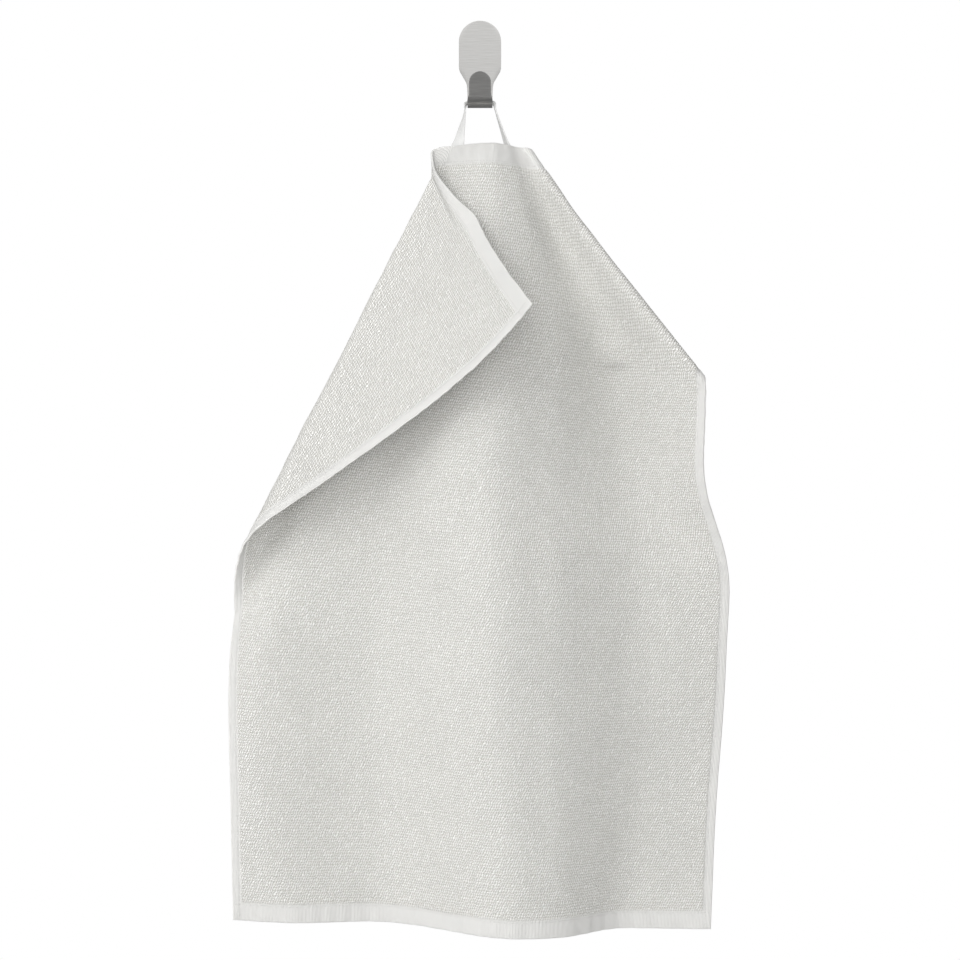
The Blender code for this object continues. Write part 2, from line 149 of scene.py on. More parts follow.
# %% Curve helpers
def through(knots, values, at, first=None, last=None):
    """A smooth curve through (knot, value) pairs that never swings past them."""
    knots, values = np.asarray(knots, float), np.asarray(values, float)
    gap = np.diff(knots)
    rise = np.diff(values) / gap
    slope = np.zeros(len(knots))
    for i in range(1, len(knots) - 1):
        if rise[i - 1] * rise[i] > 0:
            slope[i] = 2 * rise[i - 1] * rise[i] / (rise[i - 1] + rise[i])
    slope[0] = rise[0] if first is None else first
    slope[-1] = rise[-1] if last is None else last
    i = np.clip(np.searchsorted(knots, at, side="right") - 1, 0, len(gap) - 1)
    t = np.clip((at - knots[i]) / gap[i], 0, 1)
    start = values[i] * (2 * t**3 - 3 * t**2 + 1) + gap[i] * slope[i] * (t**3 - 2 * t**2 + t)
    return start + values[i + 1] * (3 * t**2 - 2 * t**3) + gap[i] * slope[i + 1] * (t**3 - t**2)


def row_of(table, down):
    """Every column of a table after the first, at one level."""
    table = np.array(table)
    return np.array([through(table[:, 0], column, down) for column in table[:, 1:].T])


def unit(vector):
    return vector / np.linalg.norm(vector)


def turned(vector, axis, angle):
    """The vector turned about the axis, once for each angle."""
    cos, sin = np.cos(angle)[..., None], np.sin(angle)[..., None]
    return vector * cos + np.cross(axis, vector) * sin + axis * (axis @ vector) * (1 - cos)


def smooth(value):
    """0 below 0, 1 above 1, and a soft step between."""
    t = np.clip(value, 0, 1)
    return t * t * (3 - 2 * t)


print("half way up a soft step:", smooth(np.array(0.5)))


# %% [markdown]
# ## One level of the hanging cloth
# At each level the cloth runs from its left end to its right end through the folds. A place on
# the flat cloth goes to the same share of the curve's length, so the weave isn't stretched.

# %% Rows of the body
def fold_end(corner, down):
    """Where the body of the cloth ends at this level: across on the flat towel, and in space."""
    share = down / corner["down"]
    high, low = np.array(corner["high"]), np.array(corner["low"])
    reach = corner["across"] + (HALF - corner["across"]) * share
    return corner["side"] * reach, high + (low - high) * share


def side_end(corner, edge, down):
    """Where the cloth ends at this level: at the slanting fold, and at its own edge below it."""
    if down < corner["down"]:
        return fold_end(corner, down)
    across, out, height = row_of(edge, down)
    return corner["side"] * HALF, np.array((across, -out, height))


def body_row(down, across):
    """Points of the hanging cloth at one level, between its two turned corners."""
    left_flat, left = side_end(FRONT_CORNER, LEFT_EDGE, down)
    right_flat, right = side_end(BACK_CORNER, RIGHT_EDGE, down)
    folds = row_of(FOLDS, down)
    knots = np.concatenate([[left[0]], folds[0::2], [right[0]]])
    outs = np.concatenate([[-left[1]], folds[1::2], [-right[1]]])
    fade_left = np.clip(1.6 - down / FRONT_CORNER["down"], 0, 1)
    fade_right = np.clip(2.0 - down / BACK_CORNER["down"], 0, 1)
    first = -math.tan(math.radians(FRONT_CORNER["lean"])) * fade_left
    last = math.tan(math.radians(BACK_CORNER["lean"])) * fade_right
    x = np.linspace(left[0], right[0], 401)
    out = through(knots, outs, x, first, last)
    length = np.concatenate([[0], np.cumsum(np.hypot(np.diff(x), np.diff(out)))])
    share = (across - left_flat) / (right_flat - left_flat)
    at = np.interp(np.clip(share, 0, 1) * length[-1], length, x)
    drop = np.sin(np.clip(share, 0, 1) * math.pi / 2)
    crown = CROWN * math.exp(-down / CROWN_FADE) * np.sin(np.clip(share, 0, 1) * math.pi)
    height = left[2] + (right[2] - left[2]) * drop + crown
    return np.stack([at, -through(knots, outs, at, first, last), height], -1)


# %% [markdown]
# Where a slanting fold reaches the side of the towel, the rows change at once, and that would
# leave a crease right across. So each point is blended with the same thread a little above and
# below, less and less towards the folds, which have to stay exactly where they are.

# %% Blend the rows
def body_points(down, across):
    """Points of the hanging cloth at one level, blended with the rows above and below."""
    steps = np.linspace(-SOFTEN, SOFTEN, 11)
    gap = steps[1] - steps[0]
    room = np.full(len(across), min(down, TOWEL_LENGTH - down))
    for corner in (FRONT_CORNER, BACK_CORNER):
        beyond = np.maximum(across * corner["side"] - corner["across"], 0)
        fold_level = beyond / (HALF - corner["across"]) * corner["down"]
        room = np.minimum(room, np.maximum(down - fold_level, 0))
    reach = np.minimum(0.7 * room, SOFTEN)
    weight = np.clip((reach - np.abs(steps)[:, None]) / gap + 0.5, 0, 1)
    weight /= weight.sum(axis=0)
    rows = [body_row(min(max(down + step, 0), TOWEL_LENGTH), across) for step in steps]
    return (weight[..., None] * np.array(rows)).sum(axis=0)


row = body_points(0.5, np.linspace(-HALF, HALF, 200))
print("the row half a metre down is", round(float(np.ptp(row[:, 0])), 3), "m wide as it hangs")


# %% [markdown]
# ## A corner that turns over
# Every point of the corner lies on a straight ray from the cone's apex. The ray's angle on the
# flat cloth says how far round the roll it goes. The stiff top hem stands out a little round the
# roll, and the corner's top edge hangs slack, which hem_slack adds. The fold at the back has a
# little weight below it and bows in between its two ends, which fold_sag adds.

# %% Corner points
def corner_points(corner, across, down):
    flat_high = np.array((corner["side"] * corner["across"], 0.0))
    flat_low = np.array((corner["side"] * HALF, corner["down"]))
    long = np.linalg.norm(flat_low - flat_high)
    give = np.linalg.norm(np.array(corner["low"]) - np.array(corner["high"])) / long
    along = (flat_low - flat_high) / long
    beyond = np.array((along[1], -along[0])) * corner["side"]
    back = long * corner["tight"] / (corner["loose"] - corner["tight"])
    offset = np.stack([across, down], -1) - (flat_high - along * back)
    reach = np.linalg.norm(offset, axis=-1)
    angle = np.arctan2(offset @ beyond, offset @ along)

    high, low = np.array(corner["high"]), np.array(corner["low"])
    ray = unit(low - high)
    apex = high - ray * back * give
    lean = math.radians(corner["lean"])
    heading = np.array((corner["side"] * math.cos(lean), -math.sin(lean), 0.0))
    heading = unit(heading - ray * (heading @ ray))
    normal = np.cross(ray, heading)
    inward = np.sign(normal[1]) * corner["side"]
    narrow = corner["tight"] / back
    rolled = math.radians(corner["turn"]) * narrow
    axis = unit(normal + ray * inward * math.sqrt(1 / narrow**2 - 1))
    first = np.minimum(angle, rolled) / narrow
    end = np.array([rolled / narrow])
    ray_end, heading_end = turned(ray, axis, end)[0], turned(heading, axis, end)[0]
    slow = np.cross(ray_end, heading_end) + ray_end * inward * corner["curl"]
    second = np.maximum(angle - rolled, 0) * np.linalg.norm(slow)
    way = np.where(
        (angle <= rolled)[..., None],
        turned(ray, axis, first),
        turned(ray_end, unit(slow), second),
    )
    return apex + give * reach[..., None] * way


def hem_slack(across, down):
    """How far the front corner's hem stands out of the cone, and hangs below it."""
    slant = TOWEL_WIDTH * HEM_SLANT * down / FRONT_CORNER["down"]
    along = -across - FRONT_CORNER["across"] - slant
    round_roll = np.sqrt(np.clip(along / FLARE_REACH, 0, 1)) * smooth(along / ROLL_START)
    past_roll = np.clip((along - 0.004) / (HALF - FRONT_CORNER["across"]), 0, 1)
    flare = FLARE * np.sin(math.pi * round_roll) * max(0, 1 - down / FLARE_FADE)
    slack = SLACK * np.sin(math.pi * past_roll) * max(0, 1 - down / SLACK_FADE) ** 2
    return np.stack([-flare - 0.8 * slack, 0 * flare, -0.5 * round_roll * flare - 0.6 * slack], -1)


def fold_sag(across, down):
    """How far in the slanting fold at the back bows, between its two ends."""
    share = min(down / BACK_CORNER["down"], 1)
    near = np.clip(across / fold_end(BACK_CORNER, share * BACK_CORNER["down"])[0], 0, 1) ** 2
    return -FOLD_SAG * math.sin(math.pi * share) * near


tip = corner_points(FRONT_CORNER, np.array([-HALF]), np.array([0.0]))[0]
print("the front corner's tip hangs", round(float(-tip[1]), 3), "m out from the wall")


# %% [markdown]
# ## Where the threads of the mesh run
# The mesh has about as many rows and columns as it can carry. They lie closer together in the
# hems, where a sewn line has to show, and where a corner rolls over.

# %% Rows and columns
HEM_SHARES = (0.0, 0.03, 0.1, 0.25, 0.45, 0.62, 0.76, 0.88, 1.0, 1.14)
COLUMNS = 176
ROWS = 226
ROLL_COLUMNS = 26


def roll_width(corner, down):
    """How much of a row of the flat towel its roll takes up."""
    share = down / corner["down"]
    radius = corner["tight"] + (corner["loose"] - corner["tight"]) * share
    slant = math.hypot(1, (HALF - corner["across"]) / corner["down"])
    return radius * math.radians(corner["turn"]) * slant


def columns_at(down):
    """Places across the flat towel, closer together where a corner rolls over."""
    hem = HALF - np.array(HEM_SHARES) * SIDE_HEM
    inner = hem[-1]
    fine = np.linspace(-inner, inner, 1601)
    weight = (fine / inner + 1) / 2 * (COLUMNS - 2 * ROLL_COLUMNS)
    for corner in (FRONT_CORNER, BACK_CORNER):
        start = abs(fold_end(corner, down)[0])
        into = smooth((fine * corner["side"] - start) / roll_width(corner, down))
        weight += corner["side"] * ROLL_COLUMNS * into
    even = np.linspace(weight[0], weight[-1], COLUMNS + 1)
    return np.concatenate([-hem[:-1], np.interp(even, weight, fine), hem[:-1][::-1]])


hem_rows = np.array(HEM_SHARES) * END_HEM
between = np.linspace(hem_rows[-1], TOWEL_LENGTH - hem_rows[-1], ROWS + 1)
downs = np.concatenate([hem_rows[:-1], between, TOWEL_LENGTH - hem_rows[:-1][::-1]])
print(len(downs), "rows of", len(columns_at(0.2)), "points")


# %% Lay the grid
def towel_grid():
    """The whole middle surface as rows of points, and each point's place on the flat cloth."""
    points, flat = [], []
    for down in downs:
        across = columns_at(down)
        level = body_points(down, across)
        for corner in (FRONT_CORNER, BACK_CORNER):
            if down < corner["down"]:
                over = across * corner["side"] > abs(fold_end(corner, down)[0])
                level[over] = corner_points(corner, across[over], np.full(over.sum(), down))
        turned_over = across < -abs(fold_end(FRONT_CORNER, down)[0])
        level[turned_over] += hem_slack(across[turned_over], down)
        level[:, 0] += fold_sag(across, down)
        points.append(level)
        flat.append(np.stack([across, np.full(len(across), down)], -1))
    return np.array(points), np.array(flat)


points, flat = towel_grid()
print("the cloth spans", np.ptp(points.reshape(-1, 3), axis=0).round(3), "m")


# %% [markdown]
# ## Hems, sewn lines and small unevenness
# A hem is the same cloth folded over, so it is smooth and a little thinner than the looped
# terry. Its sewn line pulls the cloth in, and the thread makes the hem pucker slightly. Cotton
# is never quite even either. These are heights on the surface, added along its normals.

# %% Surface relief
SEAM_IN = 0.0016  # the sewn line lies this far out from the hem's inner edge
SEAM_HALF_WIDTH = 0.0007
SEAM_DEPTH = 0.00028
RIPPLE = 0.00035
WAVE = 0.0008
SIDE_PUCKER = 0.00030
END_PUCKER = 0.00035


def normals_of(points):
    """Unit normals of the grid. They face out from the wall on the body of the towel."""
    normal = np.cross(np.gradient(points, axis=0), np.gradient(points, axis=1))
    return normal / np.linalg.norm(normal, axis=-1, keepdims=True)


def edge_distances(flat):
    """How far each place lies in from the side edges, and from the ends."""
    from_side = HALF - np.abs(flat[..., 0])
    from_end = np.minimum(flat[..., 1], TOWEL_LENGTH - flat[..., 1])
    return from_side, from_end


def half_thickness(flat):
    """Thin in the hems, thick in the terry, drawn in at the sewn lines and round at the edge."""
    from_side, from_end = edge_distances(flat)
    past_side = smooth((from_side - SIDE_HEM) / 0.0014 + 0.4)
    past_end = smooth((from_end - END_HEM) / 0.0016 + 0.4)
    terry = past_side * past_end
    half = HEM_HALF_THICK + (TERRY_HALF_THICK - HEM_HALF_THICK) * terry
    for distance, hem in ((from_side, SIDE_HEM), (from_end, END_HEM)):
        sewn = np.exp(-(((distance - hem + SEAM_IN) / SEAM_HALF_WIDTH) ** 2))
        half = half - SEAM_DEPTH * sewn * (1 - terry)
    edge = np.clip(np.minimum(from_side, from_end) / HEM_HALF_THICK, 0, 1)
    return half * (0.35 + 0.65 * np.sqrt(1 - (1 - edge) ** 2))


def unevenness(flat):
    """Small ripples, slow waves, and the puckers of the two kinds of hem."""
    u, v = flat[..., 0], flat[..., 1]
    from_side, from_end = edge_distances(flat)
    across_ripple = RIPPLE * np.sin(u * 95 + 2.1 * np.sin(v * 41))
    ripple = across_ripple * np.sin(v * 83 + 1.7 * np.sin(u * 57))
    slow = WAVE * np.sin(u * 31 + 0.7 + 1.3 * np.sin(v * 17)) * np.sin(v * 23 + 0.4)
    side_fade = SIDE_PUCKER * np.exp(-((from_side / SIDE_HEM) ** 2))
    end_fade = END_PUCKER * np.exp(-((from_end / END_HEM) ** 2))
    side_pucker = side_fade * np.sin(v * 430 + 3 * np.sin(v * 61))
    end_pucker = end_fade * np.sin(u * 380 + 3 * np.sin(u * 53))
    return ripple + slow + side_pucker + end_pucker


normals = normals_of(points)
middle = points + normals * unevenness(flat)[..., None]
half = half_thickness(flat)
offset = normals_of(middle) * half[..., None]
print("half thickness from", half.min().round(5), "to", half.max().round(5))


# %% [markdown]
# ## The towel's mesh
# The sheet has a front, a back and a narrow border that closes it. Every corner of every face
# keeps its place on the flat cloth as its UV, in metres, so the pile and the hems' weave run
# with the threads wherever the cloth goes.

# %% Build the closed sheet
def sheet_mesh(name, front, back, flat):
    """A closed mesh between two grids of points, with the flat place of each corner as its UV."""
    rows, columns = front.shape[:2]
    count = rows * columns
    index = np.arange(count).reshape(rows, columns)
    a, b, c, d = index[:-1, :-1], index[1:, :-1], index[1:, 1:], index[:-1, 1:]
    front_faces = np.stack([a, b, c, d], -1).reshape(-1, 4)
    back_faces = np.stack([a, d, c, b], -1).reshape(-1, 4) + count
    round_it = np.concatenate([index[0, :-1], index[:-1, -1], index[-1, :0:-1], index[:0:-1, 0]])
    after = np.roll(round_it, -1)
    border = np.stack([round_it, after, after + count, round_it + count], -1)
    faces = np.concatenate([front_faces, back_faces, border])
    data = bpy.data.meshes.new(name)
    both_sides = np.concatenate([front.reshape(-1, 3), back.reshape(-1, 3)])
    data.from_pydata(both_sides, [], faces.tolist())
    layer = data.uv_layers.new(name="flat_cloth")
    corners = np.concatenate([flat.reshape(-1, 2), flat.reshape(-1, 2)])[faces.reshape(-1)]
    layer.data.foreach_set("uv", corners.reshape(-1).astype(np.float32))
    data.shade_smooth()
    made = bpy.data.objects.new(name, data)
    bpy.context.scene.collection.objects.link(made)
    return made


towel = sheet_mesh("terry_towel", middle + offset, middle - offset, flat)
print("towel:", len(towel.data.polygons), "faces")


# %% [markdown]
# ## The hanging loop
# The loop is a white woven tape. Its two tails lie behind the top hem, where they are sewn, and
# each leg turns edge on as it climbs and cups itself to lie in the round of the hook. It is
# lofted along a few stations, each with a place, the direction across the tape, and its cup.
# A leg's "tail" is pairs of how far down the hem and how far it has turned, in degrees. "Free"
# is pairs of the share of the way up to the hook and the turn. OVER_EDGE is how far across the
# hook, how far below its trough, and the cup. The tape lies two gaps above the trough.

# %% Loop sizes
TAPE_WIDTH = 0.0100
TAPE_THICK = 0.0009
GAP = 0.0003
STEEL = 0.0015
HOOK_GAP = 0.0125
BEND_CENTRE = -0.0371
LEFT_LEG = dict(
    side=-1, across=-0.0218, tail=((0.0135, 0), (0.0070, 0), (0.0010, 0)),
    free=((0.25, 41), (0.50, 60), (0.75, 76)),
)
RIGHT_LEG = dict(
    side=1, across=0.0322, tail=((0.0135, 0), (0.0070, 33), (0.0010, 67)),
    free=((0.25, 75), (0.50, 81), (0.75, 87)),
)
OVER_EDGE = ((0.0111, 0.0024, 0.3), (0.0105, 0.0005, 0.9), (0.0097, 0.0, 1.0), (0.0070, 0.0, 1.0))
LOOP_STEPS = 200
SOLID_HEM_HALF = 0.0009  # half the hem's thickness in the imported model
SEAM_ROOM = 0.0009  # more room between the hem's back and the tape's tails
TURN_ROOM = 0.0015  # and for a leg that turns edge on behind the hem
print("the tape is", TAPE_WIDTH * 1000, "mm wide")


# %% Stations of the loop
def towel_back(across, down):
    """A place against the back of the top hem for the tape, and the hem's direction there."""
    points = body_points(down, np.array((across - 0.001, across, across + 0.001)))
    lower = body_points(down + 0.001, np.array((across,)))[0]
    wide = unit(points[2] - points[0])
    away = unit(np.cross(unit(lower - points[1]), wide))
    return points[1] - away * (SOLID_HEM_HALF + GAP + TAPE_THICK / 2 + SEAM_ROOM), wide


def loop_leg(leg):
    """One leg from the towel's back up to the hook: places, directions across, and cups."""
    trough_height = BEND_CENTRE - HOOK_GAP / 2 + 2 * GAP + TAPE_THICK / 2
    trough = np.array((0, -STEEL - HOOK_GAP / 2, trough_height))
    edge_on = np.array((0, -1.0, 0))
    stations = []
    for down, turn in leg["tail"]:
        place, level = towel_back(leg["across"], down)
        turn = math.radians(turn)
        stand_off = np.array((0, math.sin(turn) * (TAPE_WIDTH / 2 + TURN_ROOM), 0))
        wide = level * math.cos(turn) + edge_on * math.sin(turn)
        stations.append((place + stand_off, wide, 0.0))
    hem = stations[-1][0]
    over = [(trough + np.array((leg["side"] * across, 0, -below)), edge_on, cup)
            for across, below, cup in OVER_EDGE]
    top = over[0][0]
    for share, turn in leg["free"]:
        turn = math.radians(turn)
        wide = level * math.cos(turn) + edge_on * math.sin(turn)
        stations.append((hem + (top - hem) * share, wide, 0.0))
    return stations + over


stations = loop_leg(LEFT_LEG) + loop_leg(RIGHT_LEG)[::-1]
print(len(stations), "stations round the loop")


# %% Loft the tape
REACH_SHARES = (-0.5, -0.485, -0.44, -0.3, -0.15, 0, 0.15, 0.3, 0.44, 0.485, 0.5)
THICK_SHARES = (0.35, 0.8, 1, 1, 1, 1, 1, 1, 1, 0.8, 0.35)
LEAST_CUP = 0.02


def tape_grids():
    """The tape's two faces as grids of points, its flat places and its length."""
    places = np.array([place for place, wide, cup in stations])
    run = np.concatenate([[0], np.cumsum(np.linalg.norm(np.diff(places, axis=0), axis=1))])
    at = np.linspace(0, run[-1], LOOP_STEPS + 1)
    wides = np.array([wide for place, wide, cup in stations])
    cups = through(run, np.array([cup for place, wide, cup in stations]), at)
    places = np.stack([through(run, column, at) for column in places.T], -1)
    wides = np.stack([through(run, column, at) for column in wides.T], -1)
    along = np.gradient(places, axis=0)
    along /= np.linalg.norm(along, axis=1, keepdims=True)
    wides -= along * (wides * along).sum(axis=1, keepdims=True)
    wides /= np.linalg.norm(wides, axis=1, keepdims=True)
    face = np.cross(wides, along)
    reach = np.array(REACH_SHARES) * TAPE_WIDTH
    cups = np.maximum(cups, LEAST_CUP)[:, None]
    radius = TAPE_WIDTH / (2 * cups)
    swing = reach / radius
    thin = np.array(THICK_SHARES) * TAPE_THICK / 2
    sides = []
    for sign in (1, -1):
        inner = radius - sign * thin
        over, lift = inner * np.sin(swing), radius - inner * np.cos(swing)
        side = places[:, None] + wides[:, None] * over[..., None]
        sides.append(side + face[:, None] * lift[..., None])
    shape = swing.shape
    flat = np.stack([np.broadcast_to(reach, shape), np.broadcast_to(at[:, None], shape)], -1)
    return sides[0], sides[1], flat, run[-1]


upper, under, tape_flat, tape_length = tape_grids()
tape = sheet_mesh("loop_tape", under, upper, tape_flat)
print("the tape is", round(float(tape_length), 4), "m long, tails and all")

# %% [markdown]
# ## Terry cloth
# Terry is a ground weave with rows of small cotton loops standing out of it on both faces. The
# loops are too many to model, so they are relief in the material: each has its own cell on the
# flat cloth, half a cell over from the row above, its own height and lean, and fluff over it.
# Between the loops less light comes back, so the colour is painted darker there as painted shade,
# with a little warmth for the light that bounces between them. The hems have no loops, only the
# ribs of their plain weave and one sewn line of thread.


# %% Node helpers
def new_material(name):
    """A material, its node tree and its main shader."""
    made = bpy.data.materials.new(name)
    made.use_nodes = True
    tree = made.node_tree
    shader = tree.nodes["Principled BSDF"]
    return made, tree, shader


def add(tree, kind, **settings):
    """A new node with some of its settings given."""
    made = tree.nodes.new(kind)
    for key, value in settings.items():
        setattr(made, key, value)
    return made


def connect(tree, source, target):
    """A number goes into the socket as its value, and another socket is linked to it."""
    if isinstance(source, (int, float)):
        target.default_value = source
    else:
        tree.links.new(source, target)


def calc(tree, operation, first, second=0.0, third=0.0):
    """One Math node on sockets or numbers."""
    made = add(tree, "ShaderNodeMath", operation=operation)
    for socket, value in zip(made.inputs, (first, second, third)):
        connect(tree, value, socket)
    return made.outputs[0]


def soft_step(tree, value, start, end):
    """0 up to the start, 1 from the end on, and smooth between."""
    made = add(tree, "ShaderNodeMapRange", interpolation_type="SMOOTHSTEP")
    connect(tree, value, made.inputs["Value"])
    made.inputs["From Min"].default_value = start
    made.inputs["From Max"].default_value = end
    return made.outputs["Result"]


def mix_colours(tree, share, first, second):
    """The first colour where the share is 0, and the second where it is 1."""
    made = add(tree, "ShaderNodeMix", data_type="RGBA")
    connect(tree, share, made.inputs["Factor"])
    for socket, value in ((made.inputs["A"], first), (made.inputs["B"], second)):
        if isinstance(value, tuple):
            socket.default_value = (*value, 1)
        else:
            tree.links.new(value, socket)
    return made.outputs["Result"]


# %% Pile loops
LOOP_ACROSS = 0.00186
LOOP_DOWN = 0.00213
WANDER_ACROSS = 0.0016
WANDER_DOWN = 0.0020
terry, tree, shader = new_material("terry_cloth")
uv = add(tree, "ShaderNodeUVMap", uv_map="flat_cloth")
jitter = add(tree, "ShaderNodeTexNoise", noise_dimensions="2D")
jitter.inputs["Scale"].default_value = 260
jitter.inputs["Detail"].default_value = 1
tree.links.new(uv.outputs["UV"], jitter.inputs["Vector"])
part = add(tree, "ShaderNodeSeparateXYZ")
tree.links.new(uv.outputs["UV"], part.inputs["Vector"])
wander = add(tree, "ShaderNodeSeparateXYZ")
tree.links.new(jitter.outputs["Color"], wander.inputs["Vector"])
across = part.outputs["X"]
down = part.outputs["Y"]
stray = calc(tree, "SUBTRACT", wander.outputs["X"], 0.5)
across_now = calc(tree, "MULTIPLY_ADD", stray, WANDER_ACROSS, across)
stray = calc(tree, "SUBTRACT", wander.outputs["Y"], 0.5)
down_now = calc(tree, "MULTIPLY_ADD", stray, WANDER_DOWN, down)
level = calc(tree, "DIVIDE", down_now, LOOP_DOWN)
row = calc(tree, "FLOOR", level)
in_row = calc(tree, "SUBTRACT", calc(tree, "FRACT", level), 0.5)
half_over = calc(tree, "MULTIPLY", calc(tree, "MODULO", row, 2.0), 0.5)
place = calc(tree, "ADD", calc(tree, "DIVIDE", across_now, LOOP_ACROSS), half_over)
column = calc(tree, "FLOOR", place)
in_column = calc(tree, "SUBTRACT", calc(tree, "FRACT", calc(tree, "ADD", place, 1000.0)), 0.5)
print("loops in the cloth:", round(TOWEL_WIDTH / LOOP_ACROSS) * round(TOWEL_LENGTH / LOOP_DOWN))

# %% Each loop's own height and lean
HALF_WIDE = 0.46  # of a cell
HALF_LONG = 0.60
cell = add(tree, "ShaderNodeCombineXYZ")
tree.links.new(column, cell.inputs["X"])
tree.links.new(row, cell.inputs["Y"])
chance = add(tree, "ShaderNodeTexWhiteNoise", noise_dimensions="2D")
tree.links.new(cell.outputs["Vector"], chance.inputs["Vector"])
own = add(tree, "ShaderNodeSeparateXYZ")
tree.links.new(chance.outputs["Color"], own.inputs["Vector"])
lean = calc(tree, "MULTIPLY_ADD", own.outputs["X"], 0.7, 0.45)
leaned = calc(tree, "MULTIPLY_ADD", in_row, lean, in_column)
wide = calc(tree, "POWER", calc(tree, "ABSOLUTE", calc(tree, "DIVIDE", leaned, HALF_WIDE)), 2.0)
long = calc(tree, "POWER", calc(tree, "ABSOLUTE", calc(tree, "DIVIDE", in_row, HALF_LONG)), 2.0)
dome = calc(tree, "MAXIMUM", calc(tree, "SUBTRACT", 1.0, calc(tree, "ADD", wide, long)), 0.0)
own_height = calc(tree, "MULTIPLY_ADD", own.outputs["Y"], 0.55, 0.6)
loop = calc(tree, "MULTIPLY", calc(tree, "SQRT", dome), own_height)
fluff = add(tree, "ShaderNodeTexNoise", noise_dimensions="2D")
fluff.inputs["Scale"].default_value = 2600
fluff.inputs["Detail"].default_value = 2
tree.links.new(uv.outputs["UV"], fluff.inputs["Vector"])
pile = calc(tree, "MULTIPLY_ADD", fluff.outputs["Fac"], 0.35, loop)
print("terry relief is ready")

# %% Hems: where they are, ribs and the sewn line
from_side = calc(tree, "SUBTRACT", HALF, calc(tree, "ABSOLUTE", across))
from_end = calc(tree, "MINIMUM", down, calc(tree, "SUBTRACT", TOWEL_LENGTH, down))
side_in = soft_step(tree, from_side, SIDE_HEM - 0.0010, SIDE_HEM + 0.0012)
end_in = soft_step(tree, from_end, END_HEM - 0.0012, END_HEM + 0.0018)
in_terry = calc(tree, "MULTIPLY", side_in, end_in)
RIB = 0.0011
PICK = 0.0008
ribs = calc(tree, "SINE", calc(tree, "MULTIPLY", across, 2 * math.pi / RIB))
picks = calc(tree, "SINE", calc(tree, "MULTIPLY", down, 2 * math.pi / PICK))
weave = calc(tree, "MULTIPLY_ADD", picks, 0.03, calc(tree, "MULTIPLY", ribs, 0.16))
relief = add(tree, "ShaderNodeMix", data_type="FLOAT")
tree.links.new(in_terry, relief.inputs["Factor"])
tree.links.new(weave, relief.inputs["A"])
tree.links.new(pile, relief.inputs["B"])
height = relief.outputs["Result"]
print("the hems are masked by their distance from the edges")

# %% Sewn line
STITCH = 0.0028
THREAD_HALF_WIDTH = 0.00035
for distance, hem, along_it in ((from_side, SIDE_HEM, down), (from_end, END_HEM, across)):
    off = calc(tree, "DIVIDE", calc(tree, "SUBTRACT", distance, hem - SEAM_IN), THREAD_HALF_WIDTH)
    round_off = calc(tree, "SUBTRACT", 1.0, calc(tree, "MULTIPLY", off, off))
    line = calc(tree, "MAXIMUM", round_off, 0.0)
    swing = calc(tree, "SINE", calc(tree, "MULTIPLY", along_it, math.pi / STITCH))
    dash = calc(tree, "ABSOLUTE", swing)
    thread = calc(tree, "MULTIPLY", line, calc(tree, "MULTIPLY_ADD", dash, 1.0, -0.25))
    other = from_end if distance is from_side else from_side
    inside = soft_step(tree, other, 0.001, 0.003)
    height = calc(tree, "MULTIPLY_ADD", calc(tree, "MULTIPLY", thread, inside), 0.5, height)
print("stitches every", STITCH * 1000, "mm")

# %% Terry colour and finish
PILE_TOP = (0.92, 0.915, 0.89)
# The darker colour is painted shade for the gaps between the loops, kept a little warm for light
# bounced between them.
PILE_PAINTED_SHADE = (0.58, 0.57, 0.53)
HEM_COLOUR = (0.745, 0.74, 0.72)
PILE_RELIEF = 0.0010
# Painted shade: the colour goes to the darker one low in the pile and to the lighter one on a
# loop's top.
shade = soft_step(tree, pile, 0.1, 1.1)
pile_colour_with_painted_shade = mix_colours(tree, shade, PILE_PAINTED_SHADE, PILE_TOP)
cloth_colour = mix_colours(tree, in_terry, HEM_COLOUR, pile_colour_with_painted_shade)
patches = add(tree, "ShaderNodeTexNoise", noise_dimensions="2D")
patches.inputs["Scale"].default_value = 22
patches.inputs["Detail"].default_value = 3
tree.links.new(uv.outputs["UV"], patches.inputs["Vector"])
tint = add(tree, "ShaderNodeHueSaturation")
tree.links.new(cloth_colour, tint.inputs["Color"])
connect(tree, calc(tree, "MULTIPLY_ADD", patches.outputs["Fac"], 0.06, 0.97), tint.inputs["Value"])
tree.links.new(tint.outputs["Color"], shader.inputs["Base Color"])
bump = add(tree, "ShaderNodeBump")
bump.inputs["Strength"].default_value = 1.0
bump.inputs["Distance"].default_value = PILE_RELIEF
tree.links.new(height, bump.inputs["Height"])
tree.links.new(bump.outputs["Normal"], shader.inputs["Normal"])
shader.inputs["Roughness"].default_value = 0.95
shader.inputs["Sheen Weight"].default_value = 0.15
shader.inputs["Sheen Roughness"].default_value = 0.6
shader.inputs["Specular IOR Level"].default_value = 0.2
towel.data.materials.append(terry)
print("terry nodes:", len(tree.nodes))

# %% [markdown]
# ## Tape
# Cotton tape has a herringbone look at this size: fine ribs slant across it, first one way and
# then the other. Relief on the tape's own UV gives them, with a little fuzz.

